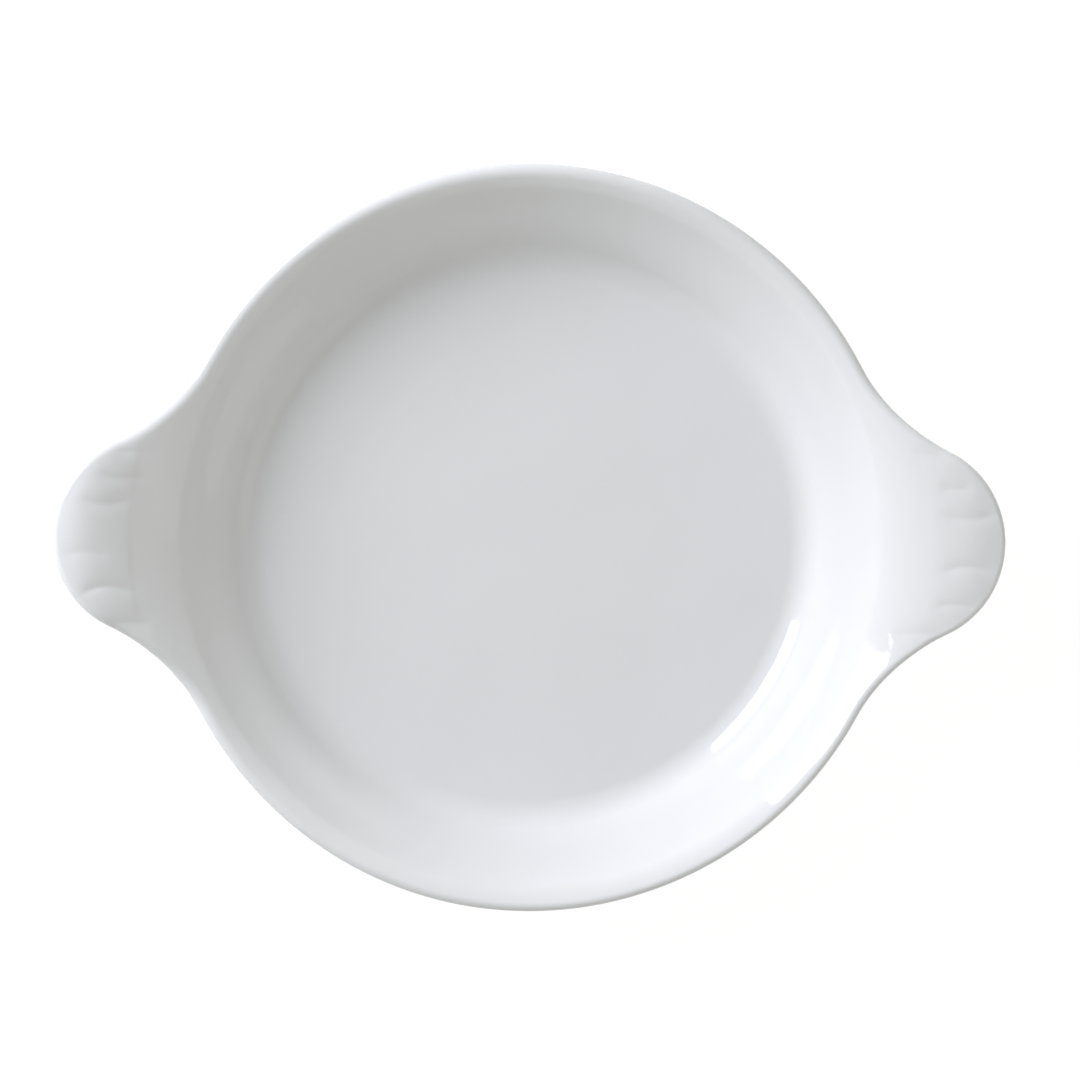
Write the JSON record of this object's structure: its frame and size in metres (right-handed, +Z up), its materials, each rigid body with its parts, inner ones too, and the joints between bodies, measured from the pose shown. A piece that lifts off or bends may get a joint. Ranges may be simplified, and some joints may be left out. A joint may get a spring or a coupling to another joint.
{
  "type": "gratin dish",
  "caption": "Round porcelain gratin dish with a flat floor, a flaring wall, a rounded rim and a flat, shell-fluted ear at each end to lift it by.",
  "frame": {"origin": "on the surface the dish stands on, under the centre of the floor", "axes": "+X through the right ear, +Y across the dish, +Z up out of the open top"},
  "size_m": [0.278, 0.22, 0.0414],
  "materials": {
    "white_glaze": "glossy white glaze over hard porcelain",
    "bare_porcelain": "unglazed, finely ground porcelain"
  },
  "bodies": {
    "root": {"bowl": "white_glaze", "left_ear": "white_glaze", "right_ear": "white_glaze", "foot_ring": "bare_porcelain"}
  },
  "joints": []
}
